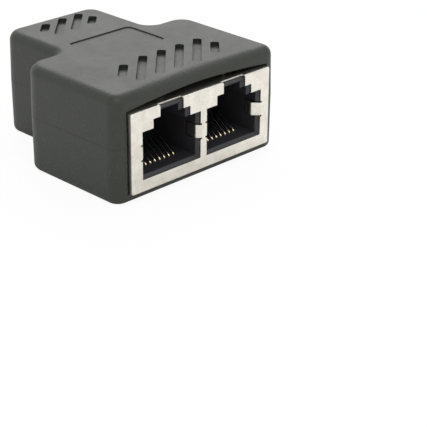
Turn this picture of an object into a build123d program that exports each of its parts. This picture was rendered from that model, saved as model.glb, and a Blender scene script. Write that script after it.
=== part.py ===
"""A network splitter: two ports side by side on a wide block and one port on the end of a stem.

Millimetres. +Z is up, the two ports look along -Y and the single port looks along +Y. The origin
is on the table, under the middle of the body. Both jacks stand back to back on a board between them.
"""
import os
from dataclasses import dataclass
from math import asin, atan2, cos, degrees, hypot, radians, sin, tan

from build123d import *

# One port, a standard size: the mouth, the step for the plug's latch and the latch slot, stacked upward
port_width = 11.7
port_sill = 2.55
port_height = 7.15
step_width = 7.05
step_rise = 1.55
latch_width = 4.1
latch_rise = 1.15
back_wall = 2.2
lead_in = 0.45
latch_lip = 1.5

# Jack blocks: folded sheet around a moulded housing
sheet = 0.3
bend_radius = 0.35
fit = 0.05
jack_depth = 17.2
sheet_margin = 0.45
latch_notch = 0.75
middle_wall = 2.25
two_port_wall = 2.575
two_port_cover = 1.15
two_port_proud = 0.9
one_port_wall = 2.05
one_port_cover = 0.9
one_port_proud = 0.4

# Casing, two moulded halves that meet at the seam, with these clearances to the jacks
side_cover = 2.6
stem_cover = 2.2
block_overhang = 4.05
roof_clearance = 1.35
seam_height = 9.4
casing_wall = 1.5
floor_thickness = 1.5
roof_thickness = 1.6
upper_draft_angle = 1.2
lower_draft_angle = 0.4
front_corner_radius = 2.1
rear_corner_radius = 3.6
inner_corner_radius = 1.8
stem_corner_radius = 2.9
top_edge_radius = 1.65
brow_radius = 2.8
brow_run_out = 0.2
brow_fullness = 1.4
brow_sections = 9
brow_clearance = 1.0
bottom_edge_radius = 0.9
seam_groove = 0.02
lip_thickness = 0.7
lip_height = 0.9
lip_clearance = 0.1
opening_gap = 0.25
arch_spring = 0.2
arch_rise = 0.95

# Grip grooves in the roof, placed from the casing's front and rear, and a shallow pocket by the shoulder
groove_width = 1.45
groove_depth = 0.7
groove_angle = 45.0
groove_corner_radius = 0.5
block_groove_count = 6
block_groove_pitch = 4.1
block_groove_place = 7.4
block_groove_offset = 0.5
block_groove_length = 11.2
stem_groove_count = 4
stem_groove_pitch = 3.6
stem_groove_place = 5.5
stem_groove_offset = 0.1
stem_groove_length = 8.6
short_groove_share = 0.48
short_groove_shift = 1.1
pocket_width = 13.6
pocket_length = 9.3
pocket_place = 3.05
pocket_depth = 0.2
pocket_corner_radius = 1.0
relief_width = 6.0
relief_height = 0.45
relief_depth = 0.4
relief_gap = 0.8

# Posts, ribs and rails inside the casing
post_radius = 1.3
pin_radius = 0.7
pin_length = 2.4
pin_clearance = 0.06
rib_thickness = 0.8
rib_length = 1.4
board_rib_height = 3.0
hold_rib_clearance = 0.1
hold_rib_length = 9.0
rail_height = 0.55
rail_length = 12.0

# Grounding springs cut from the front sheet, one each side of a port. The left port's stand flatter.
spring_height = 2.2
spring_slit = 0.3
flat_spring_reach = 0.5
spring_reach = 1.05
spring_length = 2.6
spring_bend = 0.4
spring_clearance = 0.15
two_port_spring_rise = 4.1
one_port_spring_rise = 3.6

# Contacts and the carrier that holds each row of eight
contact_count = 8
contact_margin = 2.294
contact_width = 0.32
contact_thickness = 0.25
contact_clearance = 0.03
hairpin_radius = 0.45
hairpin_depth = 3.85
beam_overlap = 1.2
beam_drop = 0.7
row_step = 2.54
carrier_front = 2.95
carrier_slab = 0.8
carrier_slot_margin = 0.25
comb_setback = 4.4
comb_thickness = 2.0
comb_slot_depth = 1.5
comb_drop = 0.8

# Board and its solder
board_thickness = 1.6
board_stand_off = 1.4
board_side_gap = 0.7
board_top_gap = 0.3
hole_radius = 0.3
foot_radius = 0.4
foot_rise = 0.8
two_port_foot_inset = 5.8
one_port_foot_inset = 5.5
tail_length = 0.9
ground_tail_width = 1.6
two_port_ground_inset = 5.2
one_port_ground_inset = 3.4
solder_skirt = 0.3
solder_corner = 0.2
solder_height = 0.5
solder_slope = 22.0

# Heights and widths that follow from the port
port_pitch = port_width + middle_wall
port_floor = floor_thickness + port_sill
port_top = port_floor + port_height
step_top = port_top + step_rise
latch_top = step_top + latch_rise
two_port_width = port_pitch + port_width + 2 * two_port_wall
two_port_top = latch_top + two_port_cover
one_port_width = port_width + 2 * one_port_wall
one_port_top = latch_top + one_port_cover
casing_width = two_port_width + 2 * side_cover
stem_width = one_port_width + 2 * stem_cover
ceiling = two_port_top + roof_clearance
casing_height = ceiling + roof_thickness
board_width = casing_width - 2 * (casing_wall + 2 * post_radius + board_side_gap)
post_reach = casing_width / 2 - casing_wall - post_radius + fit

# Places along Y. The board stands at zero, with a jack on each side of it
overall_depth = 2 * (jack_depth + board_stand_off) + board_thickness
casing_depth = overall_depth - two_port_proud - one_port_proud
casing_front = two_port_proud - overall_depth / 2
casing_rear = casing_front + casing_depth
block_depth = block_overhang - casing_front

# Depths counted from a jack's face, and the line of its contacts. Their pitch comes to 1.016
contact_pitch = (port_width - 2 * contact_margin) / (contact_count - 1)
port_depth = jack_depth - back_wall
comb_front = port_depth - comb_setback
comb_top = port_top - comb_drop
tail_end = jack_depth + board_stand_off + board_thickness + tail_length
carrier_bottom = port_floor - carrier_slab
contact_height = carrier_bottom + contact_clearance + contact_thickness / 2
beam_end_depth = comb_front + beam_overlap
beam_run = beam_end_depth - hairpin_depth
beam_rise = comb_top - beam_drop - contact_height - hairpin_radius
beam_angle = degrees(atan2(beam_rise, beam_run) - asin(hairpin_radius / hypot(beam_run, beam_rise)))


@dataclass(frozen=True)
class Jack:
    """Where one jack block sits. Inward is +1 where the body lies towards +Y, and -1 towards -Y."""

    face: float
    inward: int
    port_centres: tuple
    width: float
    bottom: float
    top: float
    spring_middle: float
    spring_reaches: tuple
    foot_reach: float
    ground_reach: float

    def front(self, depth=0.0):
        """A plane that looks into the jack, x across and y up, with depth counted from its face."""
        origin = (0, self.face + self.inward * depth, 0)
        return Plane(origin=origin, x_dir=(-self.inward, 0, 0), z_dir=(0, self.inward, 0))

    def side(self, across):
        """A plane through one contact, x inward and y up."""
        return Plane(origin=(across, self.face, 0), x_dir=(0, self.inward, 0), z_dir=(self.inward, 0, 0))

    def plan(self, height):
        """A level plane, x across and y inward from the face."""
        return Plane(origin=(0, self.face, height), x_dir=(self.inward, 0, 0), z_dir=(0, 0, 1))

    def end_faces(self, piece):
        """The front and back faces of a piece of this jack."""
        ends = piece.faces().filter_by(Axis.Y).sort_by(Axis.Y)
        return (ends[0], ends[-1]) if self.inward > 0 else (ends[-1], ends[0])


two_port = Jack(
    face=casing_front - two_port_proud,
    inward=1,
    port_centres=(-port_pitch / 2, port_pitch / 2),
    width=two_port_width,
    bottom=floor_thickness,
    top=two_port_top,
    spring_middle=port_floor + two_port_spring_rise,
    spring_reaches=(flat_spring_reach, spring_reach),
    foot_reach=two_port_width / 2 - two_port_foot_inset,
    ground_reach=two_port_width / 2 - two_port_ground_inset,
)
one_port = Jack(
    face=casing_rear + one_port_proud,
    inward=-1,
    port_centres=(0.0,),
    width=one_port_width,
    bottom=floor_thickness + rail_height,
    top=one_port_top,
    spring_middle=port_floor + one_port_spring_rise,
    spring_reaches=(spring_reach,),
    foot_reach=one_port_width / 2 - one_port_foot_inset,
    ground_reach=one_port_width / 2 - one_port_ground_inset,
)


def upright(width, low, high, across=0.0):
    """Draws a rectangle that stands between two heights on a jack's front plane."""
    with Locations((across, (low + high) / 2)):
        Rectangle(width, high - low)


def contact_places(centre):
    """The X of each contact of a port, from -X to +X."""
    return [centre + (k - (contact_count - 1) / 2) * contact_pitch for k in range(contact_count)]


def tail_height(index):
    """Odd contacts leave in the lower row and even ones in the upper row."""
    return contact_height + row_step * (index % 2)


# Casing plan, the T-shaped outline at the seam
with BuildSketch() as casing_plan:
    with Locations((0, casing_front + block_depth / 2)):
        Rectangle(casing_width, block_depth)
    with Locations((0, casing_front + casing_depth / 2)):
        Rectangle(stem_width, casing_depth)
    fillet(casing_plan.vertices().group_by(Axis.Y)[0], front_corner_radius)
    fillet(casing_plan.vertices().group_by(Axis.Y)[-1], stem_corner_radius)
    shoulder = casing_plan.vertices().filter_by_position(Axis.Y, block_overhang - fit, block_overhang + fit)
    fillet(shoulder.sort_by(lambda corner: abs(corner.X))[-2:], rear_corner_radius)
    shoulder = casing_plan.vertices().filter_by_position(Axis.Y, block_overhang - fit, block_overhang + fit)
    fillet(shoulder.sort_by(lambda corner: abs(corner.X))[:2], inner_corner_radius)


def seam_step(side):
    """Cuts one half's share of the fine groove that runs round the outside at the seam."""
    with BuildSketch(Plane.XY.offset(seam_height)) as rim:
        offset(casing_plan.sketch, amount=seam_groove)
        offset(casing_plan.sketch, amount=-seam_groove, mode=Mode.SUBTRACT)
    extrude(rim.sketch, amount=side * seam_groove, mode=Mode.SUBTRACT)


def jack_opening(jack, draw_hole):
    """Cuts the hole in the casing's wall that a jack's front end stands in."""
    with BuildSketch(jack.front(-fit)) as hole:
        draw_hole()
    extrude(hole.sketch, amount=two_port_proud + casing_wall + 2 * fit, mode=Mode.SUBTRACT)


def two_port_hole():
    """Draws the wide hole, whose upper edge bows up a little in the middle."""
    half = two_port.width / 2 + opening_gap
    spring = two_port.top + arch_spring
    with BuildLine() as edge:
        Polyline((-half, spring), (-half, two_port.bottom), (half, two_port.bottom), (half, spring))
        ThreePointArc((half, spring), (0, spring + arch_rise), (-half, spring))
    make_face(edge.edges())


def one_port_hole():
    """Draws the narrow hole, with straight edges."""
    upright(one_port.width + 2 * opening_gap, one_port.bottom, one_port.top + opening_gap)


def grip_grooves(count, pitch, middle, along, length):
    """Cuts a row of slanting grooves in the roof. The first and last are short and lie further in."""
    with BuildSketch(Plane.XY.offset(casing_height)) as grooves:
        for k in range(count):
            across = (k - (count - 1) / 2) * pitch
            outermost = k in (0, count - 1)
            shift = short_groove_shift * (1 if across < 0 else -1) if outermost else 0
            long = length * short_groove_share if outermost else length
            with Locations(Location((middle + across + shift, along + shift), groove_angle)):
                RectangleRounded(long, groove_width, groove_corner_radius)
    extrude(grooves.sketch, amount=-groove_depth, mode=Mode.SUBTRACT)


def brow_section(across, radius):
    """Draws what the rounding takes off the roof's front edge, on an upright plane across the body."""
    draft = radians(upper_draft_angle)
    halfway = (radians(90) - draft) / 2
    centre_height = casing_height - radius
    centre_along = casing_front + (centre_height - seam_height) * tan(draft) + radius / cos(draft)
    crown = (centre_along, casing_height)
    knee = (centre_along - radius * sin(halfway), centre_height + radius * cos(halfway))
    waist = (centre_along - radius * cos(draft), centre_height + radius * sin(draft))
    ahead, above = casing_front - brow_clearance, casing_height + brow_clearance
    with BuildSketch(Plane(origin=(across, 0, 0), x_dir=(0, 1, 0), z_dir=(1, 0, 0))) as section:
        with BuildLine() as edge:
            ThreePointArc(crown, knee, waist)
            Polyline(waist, (ahead, waist[1]), (ahead, above), (centre_along, above), crown)
        make_face(edge.edges())
    return section.sketch


def swollen_brow():
    """Rounds the edge over the pair of ports further, with a radius that swells towards its middle."""
    reach = casing_width / 2 - front_corner_radius
    least = top_edge_radius - brow_run_out
    sections = []
    for k in range(brow_sections):
        share = k / (brow_sections - 1)
        swell = sin(radians(180 * share)) ** brow_fullness
        sections.append(brow_section((2 * share - 1) * reach, least + swell * (brow_radius - least)))
    loft(sections, mode=Mode.SUBTRACT)


# Upper half of the casing
with BuildPart() as upper_shell:
    with BuildSketch(Plane.XY.offset(seam_height)):
        add(casing_plan.sketch)
    extrude(amount=casing_height - seam_height, taper=upper_draft_angle)
    fillet(upper_shell.faces().sort_by(Axis.Z)[-1].edges(), top_edge_radius)
    swollen_brow()
    seam_step(1)
    with BuildSketch(Plane.XY.offset(seam_height)):
        offset(casing_plan.sketch, amount=-casing_wall)
    extrude(amount=ceiling - seam_height, mode=Mode.SUBTRACT)
    # Posts with pins that drop into the lower posts
    with BuildSketch(Plane.XY.offset(seam_height)):
        with Locations((-post_reach, 0), (post_reach, 0)):
            Circle(post_radius)
    extrude(amount=ceiling - seam_height)
    with BuildSketch(Plane.XY.offset(seam_height)):
        with Locations((-post_reach, 0), (post_reach, 0)):
            Circle(pin_radius)
    extrude(amount=-pin_length)
    # Rebate for the lower half's lip
    with BuildSketch(Plane.XY.offset(seam_height)):
        offset(casing_plan.sketch, amount=lip_thickness + lip_clearance - casing_wall)
        offset(casing_plan.sketch, amount=-casing_wall, mode=Mode.SUBTRACT)
    extrude(amount=lip_height + lip_clearance, mode=Mode.SUBTRACT)
    # Ribs that hold each jack down
    for jack, reach in ((two_port, port_pitch / 2), (one_port, one_port.width / 4)):
        low = jack.top + hold_rib_clearance
        rib_middle = jack.face + jack.inward * (two_port_proud + casing_wall + fit + hold_rib_length / 2)
        with BuildSketch(Plane.XY.offset(low)):
            with Locations((-reach, rib_middle), (reach, rib_middle)):
                Rectangle(rib_thickness, hold_rib_length)
        extrude(amount=ceiling - low)
    jack_opening(two_port, two_port_hole)
    jack_opening(one_port, one_port_hole)
    block_along, stem_along = casing_front + block_groove_place, casing_rear - stem_groove_place
    grip_grooves(block_groove_count, block_groove_pitch, block_groove_offset, block_along, block_groove_length)
    grip_grooves(stem_groove_count, stem_groove_pitch, stem_groove_offset, stem_along, stem_groove_length)
    # Shallow pocket between the two rows of grooves
    with BuildSketch(Plane.XY.offset(casing_height)):
        with Locations((0, block_overhang - pocket_place)):
            RectangleRounded(pocket_width, pocket_length, pocket_corner_radius)
    extrude(amount=-pocket_depth, mode=Mode.SUBTRACT)
    # Relief in the end wall above the single port's latch slot
    relief_low = one_port.top + opening_gap + relief_gap
    with BuildSketch(one_port.front(one_port_proud - fit)):
        upright(relief_width, relief_low, relief_low + relief_height)
    extrude(amount=relief_depth + fit, mode=Mode.SUBTRACT)
upper_shell.part.label = "upper_shell"

# Lower half of the casing
seam_down = Plane(origin=(0, 0, seam_height), x_dir=(-1, 0, 0), z_dir=(0, 0, -1))
with BuildPart() as lower_shell:
    with BuildSketch(seam_down):
        add(casing_plan.sketch)
    extrude(amount=seam_height, taper=lower_draft_angle)
    fillet(lower_shell.faces().sort_by(Axis.Z)[0].edges(), bottom_edge_radius)
    seam_step(-1)
    with BuildSketch(Plane.XY.offset(floor_thickness)):
        offset(casing_plan.sketch, amount=-casing_wall)
    extrude(amount=seam_height - floor_thickness, mode=Mode.SUBTRACT)
    # Lip that stands up inside the upper half
    with BuildSketch(Plane.XY.offset(seam_height)):
        offset(casing_plan.sketch, amount=lip_thickness - casing_wall)
        offset(casing_plan.sketch, amount=-casing_wall, mode=Mode.SUBTRACT)
    extrude(amount=lip_height)
    # Posts, bored for the upper half's pins
    with BuildSketch(Plane.XY.offset(floor_thickness)):
        with Locations((-post_reach, 0), (post_reach, 0)):
            Circle(post_radius)
    extrude(amount=seam_height - floor_thickness)
    with BuildSketch(Plane.XY.offset(seam_height)):
        with Locations((-post_reach, 0), (post_reach, 0)):
            Circle(pin_radius + pin_clearance)
    extrude(amount=-pin_length - pin_clearance, mode=Mode.SUBTRACT)
    # Ribs in pairs that the board stands between
    rib_reach = board_width / 2 - rib_length / 2
    rib_gap = board_thickness + rib_thickness + 2 * fit
    with BuildSketch(Plane.XY.offset(floor_thickness)):
        with GridLocations(2 * rib_reach, rib_gap, 2, 2):
            Rectangle(rib_length, rib_thickness)
    extrude(amount=board_rib_height)
    # Rails that the single jack lies on
    with BuildSketch(Plane.XY.offset(floor_thickness)):
        with Locations((0, casing_rear - casing_wall - rail_length / 2)):
            with GridLocations(one_port.width / 2, 1, 2, 1):
                Rectangle(rib_thickness, rail_length)
    extrude(amount=rail_height)
    jack_opening(two_port, two_port_hole)
    jack_opening(one_port, one_port_hole)
lower_shell.part.label = "lower_shell"


def folded_shield(jack):
    """Makes one jack's shield: a sheet folded round four sides and the front, open at the back."""
    with BuildPart() as shield:
        with BuildSketch(jack.front()):
            upright(jack.width, jack.bottom, jack.top)
        extrude(amount=jack_depth)
        fillet(shield.edges().filter_by(Axis.Y), bend_radius)
        fillet(jack.end_faces(shield)[0].edges(), bend_radius)
        offset(amount=-sheet, openings=jack.end_faces(shield)[1])
        # Openings of the ports, with the sheet cut away above each latch slot
        with BuildSketch(jack.front()):
            for centre in jack.port_centres:
                across = -jack.inward * centre
                low = port_floor - sheet_margin
                upright(port_width + 2 * sheet_margin, low, port_top + sheet_margin, across)
                upright(step_width + 2 * sheet_margin, low, step_top + sheet_margin, across)
                upright(latch_width + 2 * sheet_margin, low, jack.top - sheet, across)
            # Slits that free the springs above and below
            for centre in jack.port_centres:
                low = jack.spring_middle - spring_height / 2
                wide = port_width + 2 * sheet_margin + 2 * spring_slit
                upright(wide, low - spring_slit, low, -jack.inward * centre)
                upright(wide, low + spring_height, low + spring_height + spring_slit, -jack.inward * centre)
        extrude(amount=bend_radius, mode=Mode.SUBTRACT)
        # Notches above the latch slots, which leave the top sheet's edge set back
        with BuildSketch(jack.front(-fit)):
            for centre in jack.port_centres:
                upright(latch_width + 2 * sheet_margin, step_top, jack.top + fit, -jack.inward * centre)
        extrude(amount=latch_notch + fit, mode=Mode.SUBTRACT)
        # Springs, bent in through the opening and back out at their ends
        with BuildSketch(jack.plan(jack.spring_middle - spring_height / 2)):
            for centre, reach in zip(jack.port_centres, jack.spring_reaches):
                for hand in (-1, 1):
                    edge = port_width / 2 + sheet_margin
                    route = [
                        (edge + 2 * spring_slit, sheet / 2),
                        (edge, sheet / 2),
                        (edge - reach, sheet / 2 + reach),
                        (edge - reach / 2, sheet / 2 + spring_length),
                    ]
                    with BuildLine():
                        FilletPolyline(*[(jack.inward * centre + hand * x, y) for x, y in route], radius=spring_bend)
                    trace(line_width=sheet)
        extrude(amount=spring_height)
        # Ground tails on the rear edge of the top sheet
        with BuildSketch(jack.front(jack_depth)):
            with Locations((0, jack.top - sheet / 2)):
                with GridLocations(2 * jack.ground_reach, 1, 2, 1):
                    Rectangle(ground_tail_width, sheet)
        extrude(amount=tail_end - jack_depth)
    return shield.part


def jack_housing(jack):
    """Makes one jack's moulded housing, with its ports open to the front."""
    skin = sheet + fit
    with BuildPart() as housing:
        with BuildSketch(jack.front(skin)):
            upright(jack.width - 2 * skin, jack.bottom + skin, jack.top - skin)
        extrude(amount=jack_depth - skin)
        chamfer(housing.edges().filter_by(Axis.Y), bend_radius - sheet + fit)
        with BuildSketch(jack.front(skin)):
            for centre in jack.port_centres:
                across = -jack.inward * centre
                upright(port_width, port_floor, port_top, across)
                upright(step_width, port_floor, step_top, across)
                upright(latch_width, port_floor, latch_top, across)
        extrude(amount=port_depth - skin, mode=Mode.SUBTRACT)
        # Lead-in round every port
        mouths = jack.end_faces(housing)[0].inner_wires()
        chamfer([edge for wire in mouths for edge in wire.edges()], lead_in)
        # Room behind the lip, where the plug's latch springs up
        with BuildSketch(jack.front(latch_lip + skin)):
            for centre in jack.port_centres:
                upright(step_width, step_top, latch_top, -jack.inward * centre)
        extrude(amount=port_depth - latch_lip - skin, mode=Mode.SUBTRACT)
        # Pockets beside the port for the grounding springs
        pocket_reach = port_width + 2 * sheet_margin + 2 * spring_slit
        with BuildSketch(jack.front(skin)):
            for centre in jack.port_centres:
                low = jack.spring_middle - spring_height / 2 - spring_clearance
                high = jack.spring_middle + spring_height / 2 + spring_clearance
                upright(pocket_reach, low, high, -jack.inward * centre)
        extrude(amount=spring_length + sheet, mode=Mode.SUBTRACT)
        # Recess in the floor and window in the back wall, which the contact carrier slides into
        with BuildSketch(jack.front(carrier_front - fit)):
            for centre in jack.port_centres:
                upright(port_width, carrier_bottom, port_floor, -jack.inward * centre)
        extrude(amount=jack_depth - carrier_front + 2 * fit, mode=Mode.SUBTRACT)
        with BuildSketch(jack.front(port_depth - fit)):
            for centre in jack.port_centres:
                upright(port_width, carrier_bottom, comb_top + 2 * fit, -jack.inward * centre)
        extrude(amount=jack_depth - port_depth + 2 * fit, mode=Mode.SUBTRACT)
        # Feet that stand the board off
        with BuildSketch(jack.front(jack_depth)):
            for height in ((jack.bottom + skin + carrier_bottom) / 2, port_top + foot_rise):
                with Locations((-jack.foot_reach, height), (jack.foot_reach, height)):
                    Circle(foot_radius)
        extrude(amount=board_stand_off)
    return housing.part


def contact_carrier(jack, centre):
    """Makes the insert under one row of contacts: a slab flush with the floor, a comb and a back wall."""
    across = -jack.inward * centre
    wide = port_width - 2 * fit
    channel = contact_width + 2 * contact_clearance
    channel_top = carrier_bottom + contact_thickness + 2 * contact_clearance
    slot_front = carrier_front + carrier_slot_margin
    places = [-jack.inward * x for x in contact_places(centre)]
    with BuildPart() as carrier:
        with BuildSketch(jack.front(carrier_front)):
            upright(wide, carrier_bottom, port_floor, across)
        extrude(amount=jack_depth - carrier_front)
        with BuildSketch(jack.front(comb_front)):
            upright(wide, carrier_bottom, comb_top, across)
        extrude(amount=comb_thickness)
        with BuildSketch(jack.front(port_depth)):
            upright(wide, carrier_bottom, comb_top, across)
        extrude(amount=jack_depth - port_depth)
        # Slots that the hairpins come up through, and channels from them to the back, under the slab
        with BuildSketch(jack.front(slot_front)):
            for x in places:
                upright(channel, carrier_bottom, port_floor, x)
        extrude(amount=hairpin_depth + contact_clearance - slot_front, mode=Mode.SUBTRACT)
        with BuildSketch(jack.front(slot_front)):
            for x in places:
                upright(channel, carrier_bottom, channel_top, x)
        extrude(amount=jack_depth - slot_front, mode=Mode.SUBTRACT)
        # Comb slots, open above so that the beams can flex
        with BuildSketch(jack.front(comb_front)):
            for x in places:
                upright(channel, port_floor, comb_top, x)
        extrude(amount=comb_slot_depth, mode=Mode.SUBTRACT)
        # Grooves up the back for the contacts of the upper row
        with BuildSketch(jack.front(jack_depth - 2 * contact_thickness)):
            for index, x in enumerate(places):
                if index % 2:
                    upright(channel, carrier_bottom, tail_height(index) + 2 * contact_thickness, x)
        extrude(amount=2 * contact_thickness, mode=Mode.SUBTRACT)
    return carrier.part


def contact(jack, across, index):
    """Makes one contact: a tail, a leg under the carrier, a hairpin and a beam that rises inward."""
    turn = 180 - beam_angle
    crown = contact_height + hairpin_radius
    hairpin_end = (
        hairpin_depth - hairpin_radius * sin(radians(beam_angle)),
        crown + hairpin_radius * cos(radians(beam_angle)),
    )
    beam = (beam_end_depth - hairpin_end[0]) / cos(radians(beam_angle))
    rise = tail_height(index)
    leg_depth = jack_depth - contact_thickness
    with BuildPart() as wire:
        with BuildSketch(jack.side(across)):
            with BuildLine():
                if index % 2:
                    FilletPolyline(
                        (tail_end, rise),
                        (leg_depth, rise),
                        (leg_depth, contact_height),
                        (hairpin_depth, contact_height),
                        radius=contact_thickness,
                    )
                else:
                    Line((tail_end, rise), (hairpin_depth, contact_height))
                CenterArc((hairpin_depth, crown), hairpin_radius, 270, -turn)
                PolarLine(hairpin_end, beam, beam_angle)
            trace(line_width=contact_thickness)
        extrude(amount=contact_width / 2, both=True)
    return wire.part


# Board between the jacks, drilled for the tails that come from both sides
tails = [
    (x, tail_height(index))
    for jack in (two_port, one_port)
    for centre in jack.port_centres
    for index, x in enumerate(contact_places(centre))
]
with BuildPart() as circuit_board:
    with BuildSketch(Plane.XZ):
        upright(board_width, floor_thickness, ceiling - board_top_gap)
    extrude(amount=board_thickness / 2, both=True)
    with BuildSketch(Plane.XZ):
        with Locations(*tails):
            RegularPolygon(hole_radius, 8)
        for jack in (two_port, one_port):
            with Locations((0, jack.top - sheet / 2)):
                with GridLocations(2 * jack.ground_reach, 1, 2, 1):
                    Rectangle(ground_tail_width + 2 * fit, sheet + 2 * fit)
    extrude(amount=board_thickness / 2, both=True, mode=Mode.SUBTRACT)
circuit_board.part.label = "circuit_board"


def solder_cones(jack, places, width, thickness):
    """Makes solder cones round a jack's tails, on the far side of the board."""
    far_face = jack.front(jack_depth + board_stand_off + board_thickness)
    with BuildPart() as solder:
        with BuildSketch(far_face) as skirts:
            with Locations(*places):
                Rectangle(width + 2 * solder_skirt, thickness + 2 * solder_skirt)
            chamfer(skirts.vertices(), solder_corner)
        extrude(amount=solder_height, taper=solder_slope)
        with BuildSketch(far_face):
            with Locations(*places):
                Rectangle(width, thickness)
        extrude(amount=solder_height, mode=Mode.SUBTRACT)
    return solder.part


def contact_solder(jack, centre):
    """Makes the solder round one port's eight tails."""
    places = [(-jack.inward * x, tail_height(k)) for k, x in enumerate(contact_places(centre))]
    return solder_cones(jack, places, contact_width, contact_thickness)


def ground_solder(jack):
    """Makes the solder round a shield's two ground tails."""
    height = jack.top - sheet / 2
    places = [(-jack.ground_reach, height), (jack.ground_reach, height)]
    return solder_cones(jack, places, ground_tail_width, sheet)


pieces = {
    "two_port_shield": folded_shield(two_port),
    "one_port_shield": folded_shield(one_port),
    "two_port_housing": jack_housing(two_port),
    "one_port_housing": jack_housing(one_port),
    "two_port_ground_solder": ground_solder(two_port),
    "one_port_ground_solder": ground_solder(one_port),
}
port_names = {"left": (two_port, 0), "right": (two_port, 1), "input": (one_port, 0)}
for name, (jack, order) in port_names.items():
    centre = jack.port_centres[order]
    pieces[f"{name}_port_carrier"] = contact_carrier(jack, centre)
    pieces[f"{name}_port_solder"] = contact_solder(jack, centre)
    for index, x in enumerate(contact_places(centre)):
        pieces[f"{name}_port_contact_{index + 1}"] = contact(jack, x, index)

os.makedirs("parts", exist_ok=True)
export_step(upper_shell.part, "parts/upper_shell.step")
export_step(lower_shell.part, "parts/lower_shell.step")
export_step(circuit_board.part, "parts/circuit_board.step")
for name, piece in pieces.items():
    piece.label = name
    export_step(piece, f"parts/{name}.step")
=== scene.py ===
"""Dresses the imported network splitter: finishes, finely drawn contacts, studio light and camera.

The frame is the CAD model's: metres, +Z up, the pair of ports looking along -Y and the single port
along +Y. Lengths in the dataclasses are millimetres, because that is how the part is dimensioned.
"""
import logging
import math
from dataclasses import dataclass, field
from enum import Enum

import bpy
import numpy as np
from mathutils import Matrix, Vector

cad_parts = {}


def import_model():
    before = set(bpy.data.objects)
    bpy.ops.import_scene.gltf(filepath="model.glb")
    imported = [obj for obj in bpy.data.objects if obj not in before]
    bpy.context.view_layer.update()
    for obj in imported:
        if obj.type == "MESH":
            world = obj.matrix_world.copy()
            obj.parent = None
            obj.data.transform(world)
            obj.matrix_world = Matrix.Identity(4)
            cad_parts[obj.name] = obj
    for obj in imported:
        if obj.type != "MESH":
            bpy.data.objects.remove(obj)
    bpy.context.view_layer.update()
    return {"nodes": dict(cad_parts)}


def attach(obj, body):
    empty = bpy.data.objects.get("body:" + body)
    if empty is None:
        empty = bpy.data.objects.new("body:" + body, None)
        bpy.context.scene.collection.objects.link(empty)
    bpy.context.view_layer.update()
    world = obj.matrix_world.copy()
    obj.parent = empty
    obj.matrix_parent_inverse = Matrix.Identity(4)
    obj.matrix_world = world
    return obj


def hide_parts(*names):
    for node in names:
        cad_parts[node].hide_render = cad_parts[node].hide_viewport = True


MM = 0.001

# The wire's mask: 1 in the gold, 0 in the undercoat, whose darker colour is partly painted shade.
GILDING_AND_SHADE = "gilding_and_shade"
ACROSS = np.array([1.0, 0.0, 0.0])
RING_POINTS = 16
DOME_SCALE = np.array([0.45, 0.8, 0.95])
DOME_REACH = np.array([0.0, 0.12, 0.35])
HAIRPIN_STEPS = 22
BEAM_STEPS = 20

Colour = tuple[float, float, float]
Place = tuple[float, float, float]
Socket = bpy.types.NodeSocket

log = logging.getLogger("splitter")


class Group(Enum):
    """The shader node groups that several finishes share."""

    GRAIN = "moulding_grain"
    FLECKS = "pale_flecks"
    CLOUDS = "handling_clouds"
    STREAKS = "rolling_streaks"


class Port(Enum):
    """The three ports, by the name their nodes start with."""

    LEFT = "left"
    RIGHT = "right"
    INPUT = "input"


class NodeSheet:
    """A node tree with short ways to add nodes and join them."""

    def __init__(self, tree: bpy.types.NodeTree) -> None:
        """Keeps the tree and empties it.

        Args:
            tree: the tree of a material, world or group.
        """
        self.tree = tree
        self.column = 0
        tree.nodes.clear()

    def add(self, kind: str, settings: dict | None = None, **values: object) -> bpy.types.Node:
        """Adds one node.

        Args:
            kind: the node's type name without its ShaderNode prefix, or in full where it has another.
            settings: properties of the node itself, such as its operation.
            values: for each input, a value or a socket to join. An input goes by its name, with
                underscores for spaces, or by an i and its number.

        Returns:
            The new node.
        """
        name = kind if kind.startswith("Node") else "ShaderNode" + kind
        node = self.tree.nodes.new(name)
        node.location = (self.column * 190, -90 * (self.column % 3))
        self.column += 1
        for key, value in (settings or {}).items():
            setattr(node, key, value)
        for key, value in values.items():
            numbered = key[0] == "i" and key[1:].isdigit()
            self.fill(node.inputs[int(key[1:]) if numbered else key.replace("_", " ")], value)
        return node

    def fill(self, socket: Socket, value: object) -> None:
        """Gives an input a value, or joins it to a socket.

        Args:
            socket: the input.
            value: a number, a tuple of numbers or an output socket.
        """
        if isinstance(value, Socket):
            self.tree.links.new(value, socket)
        else:
            socket.default_value = value

    def math(self, operation: str, *values: object) -> Socket:
        """Adds a Math node and returns its output.

        Args:
            operation: the Math node's operation.
            values: its numbers or sockets, in order.

        Returns:
            The output socket.
        """
        node = self.add("Math", {"operation": operation})
        for socket, value in zip(node.inputs, values):
            self.fill(socket, value)
        return node.outputs[0]

    def blend(self, amount: object, low: Colour | Socket, high: Colour | Socket) -> Socket:
        """Mixes two colours.

        Args:
            amount: 0 gives low and 1 gives high.
            low: the first colour.
            high: the second colour.

        Returns:
            The mixed colour's socket.
        """
        node = self.add("Mix", {"data_type": "RGBA"}, i0=amount)
        for socket, value in ((node.inputs[6], low), (node.inputs[7], high)):
            self.fill(socket, (*value, 1.0) if isinstance(value, tuple) else value)
        return node.outputs[2]


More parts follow.
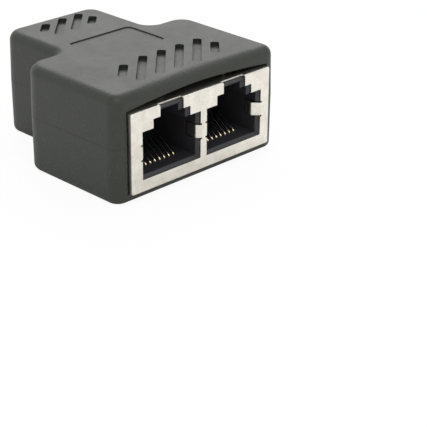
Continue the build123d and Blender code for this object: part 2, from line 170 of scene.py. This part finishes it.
def shared_group(
    group: Group, inputs: dict[str, float], outputs: tuple[str, ...]
) -> tuple[NodeSheet, dict[str, Socket], bpy.types.Node]:
    """Starts a shader node group that reads Object coordinates.

    Args:
        group: which group it is.
        inputs: each number input and its usual value.
        outputs: the names of the number outputs.

    Returns:
        The sheet to draw on, the input sockets by name, with the coordinates as "Vector", and the
        output node.
    """
    tree = bpy.data.node_groups.new(group.value, "ShaderNodeTree")
    tree.interface.new_socket("Vector", in_out="INPUT", socket_type="NodeSocketVector")
    for name, value in inputs.items():
        socket = tree.interface.new_socket(name, in_out="INPUT", socket_type="NodeSocketFloat")
        socket.default_value = value
    for name in outputs:
        tree.interface.new_socket(name, in_out="OUTPUT", socket_type="NodeSocketFloat")
    sheet = NodeSheet(tree)
    start, end = sheet.add("NodeGroupInput"), sheet.add("NodeGroupOutput")
    return sheet, {socket.name: socket for socket in start.outputs}, end


def build_grain() -> None:
    """Builds the spark-eroded grain of a mould: round pits of about one cell, broken by finer noise."""
    usual = {"Cells": 5200.0, "Softness": 0.5}
    sheet, given, end = shared_group(Group.GRAIN, usual, ("Height", "Fleck"))
    place, cells = given["Vector"], given["Cells"]
    smooth = {"feature": "SMOOTH_F1"}
    pits = sheet.add("TexVoronoi", smooth, Vector=place, Scale=cells, Smoothness=given["Softness"])
    noise = sheet.add("TexNoise", Vector=place, Scale=sheet.math("MULTIPLY", cells, 1.7), Detail=2.0)
    pit_height = sheet.math("MULTIPLY", pits.outputs["Distance"], 0.7)
    fine_height = sheet.math("MULTIPLY", noise.outputs[0], 0.5)
    fleck = sheet.add("MapRange", Value=noise.outputs[0], From_Min=0.42, From_Max=0.72)
    sheet.fill(end.inputs["Height"], sheet.math("ADD", pit_height, fine_height))
    sheet.fill(end.inputs["Fleck"], fleck.outputs[0])


def build_flecks() -> None:
    """Builds sparse pale flecks: the middles of a few cells, picked by each cell's own random colour."""
    usual = {"Cells": 1500.0, "Reach": 0.15, "Share": 0.10}
    sheet, given, end = shared_group(Group.FLECKS, usual, ("Mask",))
    cells = sheet.add("TexVoronoi", Vector=given["Vector"], Scale=given["Cells"])
    near = sheet.math("LESS_THAN", cells.outputs["Distance"], given["Reach"])
    chance = sheet.add("SeparateXYZ", i0=cells.outputs["Color"]).outputs[0]
    picked = sheet.math("LESS_THAN", chance, given["Share"])
    sheet.fill(end.inputs["Mask"], sheet.math("MULTIPLY", near, picked))


def build_clouds() -> None:
    """Builds soft patches such as handling leaves: two scales of noise, multiplied."""
    sheet, given, end = shared_group(Group.CLOUDS, {"Size": 130.0}, ("Patch",))
    place, size = given["Vector"], given["Size"]
    wide = sheet.add("TexNoise", Vector=place, Scale=size, Detail=3.0, Distortion=0.6)
    close = sheet.add("TexNoise", Vector=place, Scale=sheet.math("MULTIPLY", size, 5.0), Detail=2.0)
    patch = sheet.math("MULTIPLY", wide.outputs[0], sheet.math("ADD", close.outputs[0], 0.5))
    ranged = sheet.add("MapRange", Value=patch, From_Min=0.3, From_Max=0.75)
    sheet.fill(end.inputs["Patch"], ranged.outputs[0])


def build_streaks() -> None:
    """Builds the short streaks of rolled sheet or drawn wire: noise stretched along the sheet."""
    usual = {"Fineness": 2600.0, "Stretch": 0.12}
    sheet, given, end = shared_group(Group.STREAKS, usual, ("Streak",))
    along = sheet.add("CombineXYZ", i0=given["Stretch"], i1=1.0, i2=1.0)
    multiply = {"operation": "MULTIPLY"}
    drawn = sheet.add("VectorMath", multiply, i0=given["Vector"], i1=along.outputs[0])
    noise = sheet.add("TexNoise", Vector=drawn.outputs[0], Scale=given["Fineness"], Detail=3.0)
    sheet.fill(end.inputs["Streak"], noise.outputs[0])


@dataclass(frozen=True)
class Finish:
    """What every finish has: a name, a colour and the one that it drifts to, gloss and edge radius."""

    name: str
    colour: Colour
    second_colour: Colour
    roughness: float
    roughness_spread: float
    edge_radius: float

    def start(self) -> tuple[NodeSheet, Socket, bpy.types.Material]:
        """Makes the material with nothing in it.

        Returns:
            Its sheet, the Object coordinates' socket and the material.
        """
        material = bpy.data.materials.new(self.name)
        material.use_nodes = True
        sheet = NodeSheet(material.node_tree)
        place = sheet.add("TexCoord").outputs["Object"]
        return sheet, place, material

    def effect(
        self, sheet: NodeSheet, group: Group, place: Socket, **values: float
    ) -> bpy.types.Node:
        """Places a shared group in the material.

        Args:
            sheet: the material's sheet.
            group: which group.
            place: the coordinates' socket.
            values: the group's number inputs.

        Returns:
            The group node.
        """
        tree = bpy.data.node_groups[group.value]
        return sheet.add("Group", {"node_tree": tree}, Vector=place, **values)

    def gloss(self, sheet: NodeSheet, share: Socket) -> Socket:
        """Gives the roughness: the plain one, and more of its spread where the share is higher."""
        return sheet.math("MULTIPLY_ADD", share, self.roughness_spread, self.roughness)

    def relief(self, sheet: NodeSheet, height: Socket, depth: float, strength: float) -> Socket:
        """Adds fine relief to edges whose shading is softened over the finish's edge radius.

        Args:
            sheet: the material's sheet.
            height: the relief's height.
            depth: how deep the relief is, in millimetres.
            strength: the share of it that shows.

        Returns:
            The normal.
        """
        soft = sheet.add("Bevel", {"samples": 6}, Radius=self.edge_radius * MM).outputs[0]
        values = {"Strength": strength, "Distance": depth * MM, "Height": height, "Normal": soft}
        return sheet.add("Bump", **values).outputs[0]

    def close(self, sheet: NodeSheet, shader: bpy.types.Node) -> None:
        """Joins the shader to the material's output."""
        sheet.add("OutputMaterial", Surface=shader.outputs[0])


@dataclass(frozen=True)
class Moulding(Finish):
    """Moulded plastic: a plain dark colour with the mould's grain, a few flecks and faint patches."""

    cells: float
    grain_depth: float
    specular: float = 0.5
    fleck_colour: Colour = (0.060, 0.063, 0.056)
    fleck_share: float = 0.0

    def material(self) -> bpy.types.Material:
        """Makes the plastic. Grain gives the relief, patches the gloss, and both vary the colour.

        Returns:
            The finished material.
        """
        sheet, place, material = self.start()
        grain = self.effect(sheet, Group.GRAIN, place, Cells=self.cells)
        patch = self.effect(sheet, Group.CLOUDS, place).outputs["Patch"]
        share = sheet.math("MULTIPLY", sheet.math("ADD", grain.outputs["Fleck"], patch), 0.5)
        base = sheet.blend(share, self.colour, self.second_colour)
        if self.fleck_share:
            flecks = self.effect(sheet, Group.FLECKS, place, Share=self.fleck_share)
            base = sheet.blend(flecks.outputs["Mask"], base, self.fleck_colour)
        shader = sheet.add(
            "BsdfPrincipled",
            Base_Color=base,
            Roughness=self.gloss(sheet, patch),
            IOR=1.5,
            Specular_IOR_Level=self.specular,
            Normal=self.relief(sheet, grain.outputs["Height"], self.grain_depth, strength=0.7),
        )
        self.close(sheet, shader)
        return material


@dataclass(frozen=True)
class Plating(Finish):
    """Plated metal: rolling streaks in the gloss and relief, and faint stains in the colour."""

    fineness: float
    stretch: float
    streak_depth: float
    stain_size: float = 170.0

    def tint(self, sheet: NodeSheet, stain: Socket) -> Socket:
        """Gives the metal's colour, stained where the clouds lie."""
        return sheet.blend(stain, self.colour, self.second_colour)

    def material(self) -> bpy.types.Material:
        """Makes the metal.

        Returns:
            The finished material.
        """
        sheet, place, material = self.start()
        drawn = {"Fineness": self.fineness, "Stretch": self.stretch}
        streak = self.effect(sheet, Group.STREAKS, place, **drawn).outputs["Streak"]
        stain = self.effect(sheet, Group.CLOUDS, place, Size=self.stain_size).outputs["Patch"]
        streak_part = sheet.math("MULTIPLY", streak, 0.6)
        mixed = sheet.math("ADD", streak_part, sheet.math("MULTIPLY", stain, 0.4))
        shader = sheet.add(
            "BsdfPrincipled",
            Base_Color=self.tint(sheet, stain),
            Metallic=1.0,
            Roughness=self.gloss(sheet, mixed),
            Normal=self.relief(sheet, streak, self.streak_depth, strength=0.5),
        )
        self.close(sheet, shader)
        return material


@dataclass(frozen=True)
class SelectivePlatingAndShade(Plating):
    """Gold over nickel: gold where a plug touches, and on the rest of the wire the undercoat, whose
    darker colour is partly the nickel's own and partly painted shade on the beams.
    """

    # Partly the nickel's own colour and partly painted shade: the darker grey stands in for the shade the
    # beams sit in inside the port.
    undercoat_and_shade: Colour = (0.44, 0.43, 0.39)
    undercoat_roughness: float = 0.16

    def gold_shade_mask(self, sheet: NodeSheet) -> Socket:
        """Reads the wire's own attribute, 1 in the gold and 0 in the undercoat with its painted shade."""
        return sheet.add("Attribute", {"attribute_name": GILDING_AND_SHADE}).outputs["Fac"]

    def tint(self, sheet: NodeSheet, stain: Socket) -> Socket:
        """Lays the gold's colour over the undercoat's, which is partly painted shade."""
        return sheet.blend(self.gold_shade_mask(sheet), self.undercoat_and_shade, super().tint(sheet, stain))

    def gloss(self, sheet: NodeSheet, share: Socket) -> Socket:
        """Lays the gold's roughness over the undercoat's."""
        layers = {"i2": self.undercoat_roughness, "i3": super().gloss(sheet, share)}
        return sheet.add("Mix", {"data_type": "FLOAT"}, i0=self.gold_shade_mask(sheet), **layers).outputs[0]


def bar_faces(rings: int) -> list[list[int]]:
    """Lists a bar's faces: quads between neighbouring rings, and a fan of triangles at each end.

    Args:
        rings: how many rings of points there are. The two end points follow them.

    Returns:
        Each face's corners.
    """
    ring, place = np.meshgrid(np.arange(rings - 1), np.arange(RING_POINTS), indexing="ij")
    here, beside = ring * RING_POINTS + place, ring * RING_POINTS + (place + 1) % RING_POINTS
    corners = [here, beside, beside + RING_POINTS, here + RING_POINTS]
    quads = np.stack(corners, axis=-1).reshape(-1, 4)
    step = np.arange(RING_POINTS)
    turned, end = (step + 1) % RING_POINTS, (rings - 1) * RING_POINTS
    point = np.full(RING_POINTS, rings * RING_POINTS)
    first = np.stack([turned, step, point], axis=-1)
    last = np.stack([end + step, end + turned, point + 1], axis=-1)
    return quads.tolist() + first.tolist() + last.tolist()


def swept_mesh(
    name: str,
    line: np.ndarray,
    half_width: float,
    half_height: float,
    gilding_and_shade: np.ndarray,
    roundness: float = 2.4,
) -> bpy.types.Mesh:
    """Carries a rounded bar's profile along a line that lies in a plane square to X.

    Point (u, v) is line(u) + s(u) * (a(v) * X + b(v) * n(u)). Here n is square to the line in its
    plane, and (a, b) runs round a superellipse, |a / half_width|^roundness plus
    |b / half_height|^roundness = 1. The scale s is 1, and at the ends it shrinks towards a point
    over three rings, so that they are domed and closed.

    Args:
        name: the mesh's name.
        line: the points of the line, one row each.
        half_width: half the bar's size along X.
        half_height: half the bar's size along n.
        gilding_and_shade: how much gold each point of the line has, from 0 to 1, kept as a point
            attribute. Where it is 0 the wire takes the undercoat's colour, which is partly painted shade.
        roundness: the superellipse's power.

    Returns:
        The mesh.
    """
    run = np.gradient(line, axis=0)
    run /= np.linalg.norm(run, axis=1, keepdims=True)
    upright = np.cross(ACROSS, run)
    turn = np.linspace(0, 2 * np.pi, RING_POINTS, endpoint=False)
    cosine, sine = np.cos(turn), np.sin(turn)
    a = half_width * np.sign(cosine) * np.abs(cosine) ** (2 / roundness)
    b = half_height * np.sign(sine) * np.abs(sine) ** (2 / roundness)
    domed = len(DOME_SCALE)
    times = np.ones(len(line), int)
    times[[0, -1]] = domed
    reach = (DOME_REACH * half_height)[:, None]
    front, back = line[:1] + run[:1] * reach, line[-1:] - run[-1:] * reach[::-1]
    line = np.concatenate([front, line[1:-1], back])
    gilding_and_shade, upright = np.repeat(gilding_and_shade, times), np.repeat(upright, times, axis=0)
    scale = np.ones(len(line))
    scale[:domed], scale[-domed:] = DOME_SCALE, DOME_SCALE[::-1]
    offsets = a[None, :, None] * ACROSS + b[None, :, None] * upright[:, None]
    rings = line[:, None] + scale[:, None, None] * offsets
    points = np.concatenate([rings.reshape(-1, 3), line[:1], line[-1:]])
    mesh = bpy.data.meshes.new(name)
    mesh.from_pydata((points * MM).tolist(), [], bar_faces(len(line)))
    amounts = np.concatenate([np.repeat(gilding_and_shade, RING_POINTS), gilding_and_shade[:1], gilding_and_shade[-1:]])
    layer = mesh.attributes.new(GILDING_AND_SHADE, "FLOAT", "POINT")
    layer.data.foreach_set("value", amounts.astype(np.float32))
    mesh.shade_smooth()
    mesh.update()
    return mesh


def rounded_line(corners: np.ndarray, radius: float, steps: int = 8) -> np.ndarray:
    """Rounds the corners of a line of straight runs.

    Each inner corner becomes the quadratic curve from the point radius before it to the point radius
    after it, with the corner as its middle control point.

    Args:
        corners: the corner points, one row each.
        radius: how far from a corner its curve starts.
        steps: the points on each curve.

    Returns:
        The points of the whole line.
    """
    before, corner, after = corners[:-2], corners[1:-1], corners[2:]
    back = (before - corner) / np.linalg.norm(before - corner, axis=1, keepdims=True)
    ahead = (after - corner) / np.linalg.norm(after - corner, axis=1, keepdims=True)
    share = np.linspace(0, 1, steps)[None, :, None]
    start, finish = (corner + back * radius)[:, None], (corner + ahead * radius)[:, None]
    curves = (1 - share) ** 2 * start + 2 * share * (1 - share) * corner[:, None] + share**2 * finish
    return np.concatenate([corners[:1], curves.reshape(-1, corners.shape[1]), corners[-1:]])


@dataclass(frozen=True)
class ContactRow:
    """Eight gold-plated spring contacts of one port, each a wire with a hairpin at its front.

    The face is the Y of the port's face, and inward is 1 where its inside lies towards +Y and -1
    towards -Y. Depths count inward from the face.
    """

    port: Port
    face: float
    inward: int
    centre: float
    pitch: float = 1.016
    width: float = 0.32
    thickness: float = 0.25
    low: float = 3.405
    bend: float = 0.45
    hairpin_depth: float = 3.85
    beam_angle: float = 33.7
    beam_end: float = 11.8
    leg_depth: float = 16.95
    tail_end: float = 21.1
    row_step: float = 2.54
    count: int = 8
    gold_from: float = 0.4
    gold_fade: float = 0.25

    def route(self, index: int) -> np.ndarray:
        """Works out one contact's middle line as depth and height.

        The tail runs to the leg, the leg to the hairpin, the hairpin turns back through 180 degrees
        less the beam's angle, and the beam rises straight to its free end.

        Args:
            index: the contact's place in the row, from -X.

        Returns:
            The line's points, one row each.
        """
        rise = self.low + self.row_step * (index % 2)
        tail, leg = (self.tail_end, rise), (self.leg_depth, rise)
        foot, start = (self.leg_depth, self.low), (self.hairpin_depth, self.low)
        stepped = index % 2
        run = rounded_line(np.array([tail, leg, foot, start]), self.bend) if stepped else [tail, start]
        turn = np.radians(np.linspace(270, 270 - 180 + self.beam_angle, HAIRPIN_STEPS))[1:]
        depth = self.hairpin_depth + self.bend * np.cos(turn)
        height = self.low + self.bend + self.bend * np.sin(turn)
        hairpin = np.stack([depth, height], axis=-1)
        slope = np.radians(self.beam_angle)
        length = (self.beam_end - hairpin[-1, 0]) / np.cos(slope)
        along = np.linspace(0, length, BEAM_STEPS)[1:, None]
        beam = hairpin[-1] + along * np.array([np.cos(slope), np.sin(slope)])
        return np.concatenate([np.array(run), hairpin, beam])

    def gilding_and_shade(self, route: np.ndarray) -> np.ndarray:
        """Works out where the gold lies: round the hairpin, with a short fade at both ends. Outside it
        the wire takes the undercoat's darker colour, which is partly painted shade on the beams.

        Args:
            route: the wire's middle line.

        Returns:
            For each point, 1 in the gold, 0 outside it and a value between in the fade.
        """
        height = route[:, 1] - self.low
        along = np.where(height < self.gold_from * self.bend, route[:, 0] - self.hairpin_depth, 0.0)
        above = np.maximum(height - 2 * self.bend, 0.0)
        return np.clip(1 - (np.maximum(along, 0.0) + above) / self.gold_fade, 0.0, 1.0)

    def mesh(self, name: str, index: int) -> bpy.types.Mesh:
        """Makes one wire's mesh in its place.

        Args:
            name: the mesh's name.
            index: the contact's place in the row, from -X.

        Returns:
            The mesh.
        """
        route = self.route(index)
        across = self.centre + (index - (self.count - 1) / 2) * self.pitch
        depth = self.face + self.inward * route[:, 0]
        line = np.stack([np.full(len(route), across), depth, route[:, 1]], axis=-1)
        return swept_mesh(name, line, self.width / 2, self.thickness / 2, self.gilding_and_shade(route))

    def build(self, material: bpy.types.Material) -> None:
        """Makes the eight wires in place of their CAD nodes.

        Args:
            material: the gold finish.
        """
        for index in range(self.count):
            node = f"{self.port.value}_port_contact_{index + 1}"
            wire = bpy.data.objects.new(node + "_wire", self.mesh(node + "_wire", index))
            bpy.context.scene.collection.objects.link(wire)
            wire.data.materials.append(material)
            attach(wire, "root")
            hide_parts(node)


@dataclass
class Dressing:
    """Puts a finish on the CAD nodes that keep their own shape."""

    nodes: dict[str, bpy.types.Object]
    dressed: list[str] = field(default_factory=list)

    def dress(self, ending: str, material: bpy.types.Material) -> None:
        """Gives every node whose name ends so the material.

        Args:
            ending: the end of the nodes' names.
            material: the finish.
        """
        for name, node in self.nodes.items():
            if name.endswith(ending):
                node.data.materials.clear()
                node.data.materials.append(material)
                self.dressed.append(name)


@dataclass(frozen=True)
class Lamp:
    """A square soft lamp that looks at the object. Its place and size are in metres, power in watts."""

    name: str
    place: Place
    size: float
    power: float
    aim_height: float = 0.009

    def build(self) -> None:
        """Hangs the lamp."""
        light = bpy.data.lights.new(self.name, "AREA")
        light.shape, light.size, light.energy = "SQUARE", self.size, self.power
        holder = bpy.data.objects.new(self.name, light)
        holder.location = self.place
        holder.rotation_mode = "QUATERNION"
        away = Vector(self.place) - Vector((0, 0, self.aim_height))
        holder.rotation_quaternion = away.to_track_quat("Z", "Y")
        bpy.context.scene.collection.objects.link(holder)


@dataclass(frozen=True)
class Studio:
    """A white room: a pale floor, a soft sky and large lamps at a plain level."""

    lamps: tuple[Lamp, ...]
    floor_reach: float = 2.5
    floor_drop: float = 0.02
    floor_sides: int = 96
    floor_colour: Colour = (0.93, 0.93, 0.93)
    sky_high: float = 0.95
    sky_low: float = 0.5
    white_share: float = 0.92
    mirrored_share: float = 0.12

    def seen(self, sheet: NodeSheet) -> Socket:
        """Tells the rays by which the object's surroundings are seen from those that only light it.

        Args:
            sheet: the sheet of the world or the floor.

        Returns:
            The socket, 1 for camera, glossy and transmission rays and 0 for the rest.
        """
        path = sheet.add("LightPath")
        either = sheet.math("MAXIMUM", path.outputs["Is Camera Ray"], path.outputs["Is Glossy Ray"])
        return sheet.math("MAXIMUM", either, path.outputs["Is Transmission Ray"])

    def build_world(self) -> None:
        """Makes the sky: white where it is seen, and brighter overhead than at the horizon as light."""
        world = bpy.data.worlds.new("studio_sky")
        bpy.context.scene.world = world
        world.use_nodes = True
        sheet = NodeSheet(world.node_tree)
        height = sheet.add("SeparateXYZ", i0=sheet.add("TexCoord").outputs["Generated"]).outputs[2]
        limits = {"From_Min": -0.1, "From_Max": 0.9, "To_Min": self.sky_low, "To_Max": self.sky_high}
        light = sheet.add("MapRange", Value=height, **limits).outputs[0]
        mixed = sheet.add("Mix", {"data_type": "FLOAT"}, i0=self.seen(sheet), i2=light, i3=1.0)
        back = sheet.add("Background", Color=(1, 1, 1, 1), Strength=mixed.outputs[0])
        sheet.add("OutputWorld", Surface=back.outputs[0])

    def build_floor(self) -> None:
        """Makes the floor, a flat disc: radius times (cos, sin) of the angle, a hair below the part."""
        turn = np.linspace(0, 2 * np.pi, self.floor_sides, endpoint=False)
        flat = np.zeros(self.floor_sides)
        rim = np.stack([np.cos(turn), np.sin(turn), flat], axis=-1) * self.floor_reach
        rim[:, 2] = -self.floor_drop * MM
        mesh = bpy.data.meshes.new("floor")
        mesh.from_pydata(rim.tolist(), [], [list(range(self.floor_sides))])
        floor = bpy.data.objects.new("floor", mesh)
        bpy.context.scene.collection.objects.link(floor)
        floor.data.materials.append(self.floor_material())

    def floor_material(self) -> bpy.types.Material:
        """Makes the floor's paint: mostly plain white where it is seen, so that only a soft shadow shows.

        The object mirrors more of the paint's own shading, which darkens its sides towards the floor.

        Returns:
            The material.
        """
        material = bpy.data.materials.new("floor_paint")
        material.use_nodes = True
        sheet = NodeSheet(material.node_tree)
        paint = sheet.add("BsdfDiffuse", Color=(*self.floor_colour, 1)).outputs[0]
        glow = sheet.add("Emission", Color=(1, 1, 1, 1), Strength=1.0).outputs[0]
        camera = sheet.add("LightPath").outputs["Is Camera Ray"]
        straight = sheet.math("MULTIPLY", camera, self.white_share)
        mirrored = sheet.math("MULTIPLY", self.seen(sheet), self.mirrored_share)
        share = sheet.math("MAXIMUM", straight, mirrored)
        mixed = sheet.add("MixShader", i0=share, i1=paint, i2=glow)
        sheet.add("OutputMaterial", Surface=mixed.outputs[0])
        return material

    def build(self) -> None:
        """Makes the sky, the floor and the lamps."""
        self.build_world()
        self.build_floor()
        for lamp in self.lamps:
            lamp.build()


@dataclass(frozen=True)
class PhotoCamera:
    """The camera of the photograph's upper picture, from a fit of the object's outline and corners.

    Angles are in degrees. The focal length is in pixels of a square frame.
    """

    azimuth: float = -45.71
    elevation: float = 25.99
    roll: float = 0.68
    right: float = 16.41
    up: float = -21.51
    distance: float = 236.1
    focal_pixels: float = 1401.3
    frame_pixels: float = 427.0
    sensor_width: float = 36.0
    target: Place = (0.0, 1.5, 10.0)

    def build(self) -> None:
        """Makes the camera: at the target, plus its side and height offsets, plus the distance back."""
        turn, lift, tilt = (math.radians(v) for v in (self.azimuth, self.elevation, self.roll))
        level_reach, height = math.cos(lift), math.sin(lift)
        back = Vector((math.sin(turn) * level_reach, -math.cos(turn) * level_reach, height))
        level = Vector((0, 0, 1)).cross(back).normalized()
        rise = back.cross(level)
        side = level * math.cos(tilt) + rise * math.sin(tilt)
        top = rise * math.cos(tilt) - level * math.sin(tilt)
        offset = side * self.right + top * self.up + back * self.distance
        place = (Vector(self.target) + offset) * MM
        data = bpy.data.cameras.new("photo_camera")
        data.sensor_width = self.sensor_width
        data.lens = self.focal_pixels / self.frame_pixels * self.sensor_width
        data.clip_start, data.clip_end = 0.01, 20.0
        camera = bpy.data.objects.new("photo_camera", data)
        turned = Matrix((side, top, back)).transposed().to_4x4()
        camera.matrix_world = Matrix.Translation(place) @ turned
        bpy.context.scene.collection.objects.link(camera)
        bpy.context.scene.camera = camera


CASING = Moulding(
    name="black_abs",
    colour=(0.0170, 0.0195, 0.0140),
    second_colour=(0.0300, 0.0330, 0.0255),
    roughness=0.46,
    roughness_spread=0.08,
    edge_radius=0.10,
    cells=3200.0,
    grain_depth=0.06,
    specular=0.46,
    fleck_share=0.10,
)
JACK_PLASTIC = Moulding(
    name="black_pbt",
    colour=(0.0185, 0.0190, 0.0215),
    second_colour=(0.0290, 0.0295, 0.0335),
    roughness=0.42,
    roughness_spread=0.10,
    edge_radius=0.05,
    cells=9000.0,
    grain_depth=0.006,
)
BOARD = Moulding(
    name="green_mask",
    colour=(0.012, 0.09, 0.035),
    second_colour=(0.02, 0.13, 0.05),
    roughness=0.30,
    roughness_spread=0.10,
    edge_radius=0.03,
    cells=3000.0,
    grain_depth=0.006,
)
SHEET = Plating(
    name="satin_nickel",
    colour=(0.83, 0.80, 0.73),
    second_colour=(0.68, 0.645, 0.575),
    roughness=0.26,
    roughness_spread=0.16,
    edge_radius=0.08,
    fineness=2600.0,
    stretch=0.12,
    streak_depth=0.003,
    stain_size=420.0,
)
# The beams take the undercoat's darker colour, which is partly painted shade.
GOLD = SelectivePlatingAndShade(
    name="gold_over_nickel_and_shade",
    colour=(0.95, 0.84, 0.60),
    second_colour=(0.88, 0.75, 0.50),
    roughness=0.10,
    roughness_spread=0.08,
    edge_radius=0.03,
    fineness=6000.0,
    stretch=1.0,
    streak_depth=0.002,
)
SOLDER = Plating(
    name="bright_solder",
    colour=(0.74, 0.75, 0.76),
    second_colour=(0.60, 0.61, 0.62),
    roughness=0.22,
    roughness_spread=0.20,
    edge_radius=0.05,
    fineness=4000.0,
    stretch=1.0,
    streak_depth=0.01,
)
LAMPS = (
    Lamp("key_lamp", place=(-0.25, -0.5, 0.85), size=0.5, power=2.2),
    Lamp("rear_lamp", place=(0.5, 0.55, 0.6), size=0.6, power=2.75),
)
ROWS = (
    ContactRow(Port.LEFT, face=-19.4, inward=1, centre=-6.975),
    ContactRow(Port.RIGHT, face=-19.4, inward=1, centre=6.975),
    ContactRow(Port.INPUT, face=19.4, inward=-1, centre=0.0),
)


def main() -> None:
    """Loads the frame, dresses it, builds the contacts and the studio, and sets the camera."""
    logging.basicConfig(level=logging.INFO, format="%(name)s: %(message)s")
    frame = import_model()
    bpy.context.scene.view_settings.view_transform = "Standard"
    for build_group in (build_grain, build_flecks, build_clouds, build_streaks):
        build_group()
    PhotoCamera().build()
    Studio(LAMPS).build()
    log.info("studio: sky, floor and %d lamps", len(LAMPS))

    dressing = Dressing(frame["nodes"])
    dressing.dress("_shell", CASING.material())
    dressing.dress("_shield", SHEET.material())
    plastic = JACK_PLASTIC.material()
    dressing.dress("_housing", plastic)
    dressing.dress("_carrier", plastic)
    dressing.dress("_board", BOARD.material())
    dressing.dress("_solder", SOLDER.material())
    log.info("finishes on %d CAD nodes", len(dressing.dressed))

    gold = GOLD.material()
    for row in ROWS:
        row.build(gold)
        log.info("%s port: %d contacts", row.port.value, row.count)


if __name__ == "__main__":
    main()
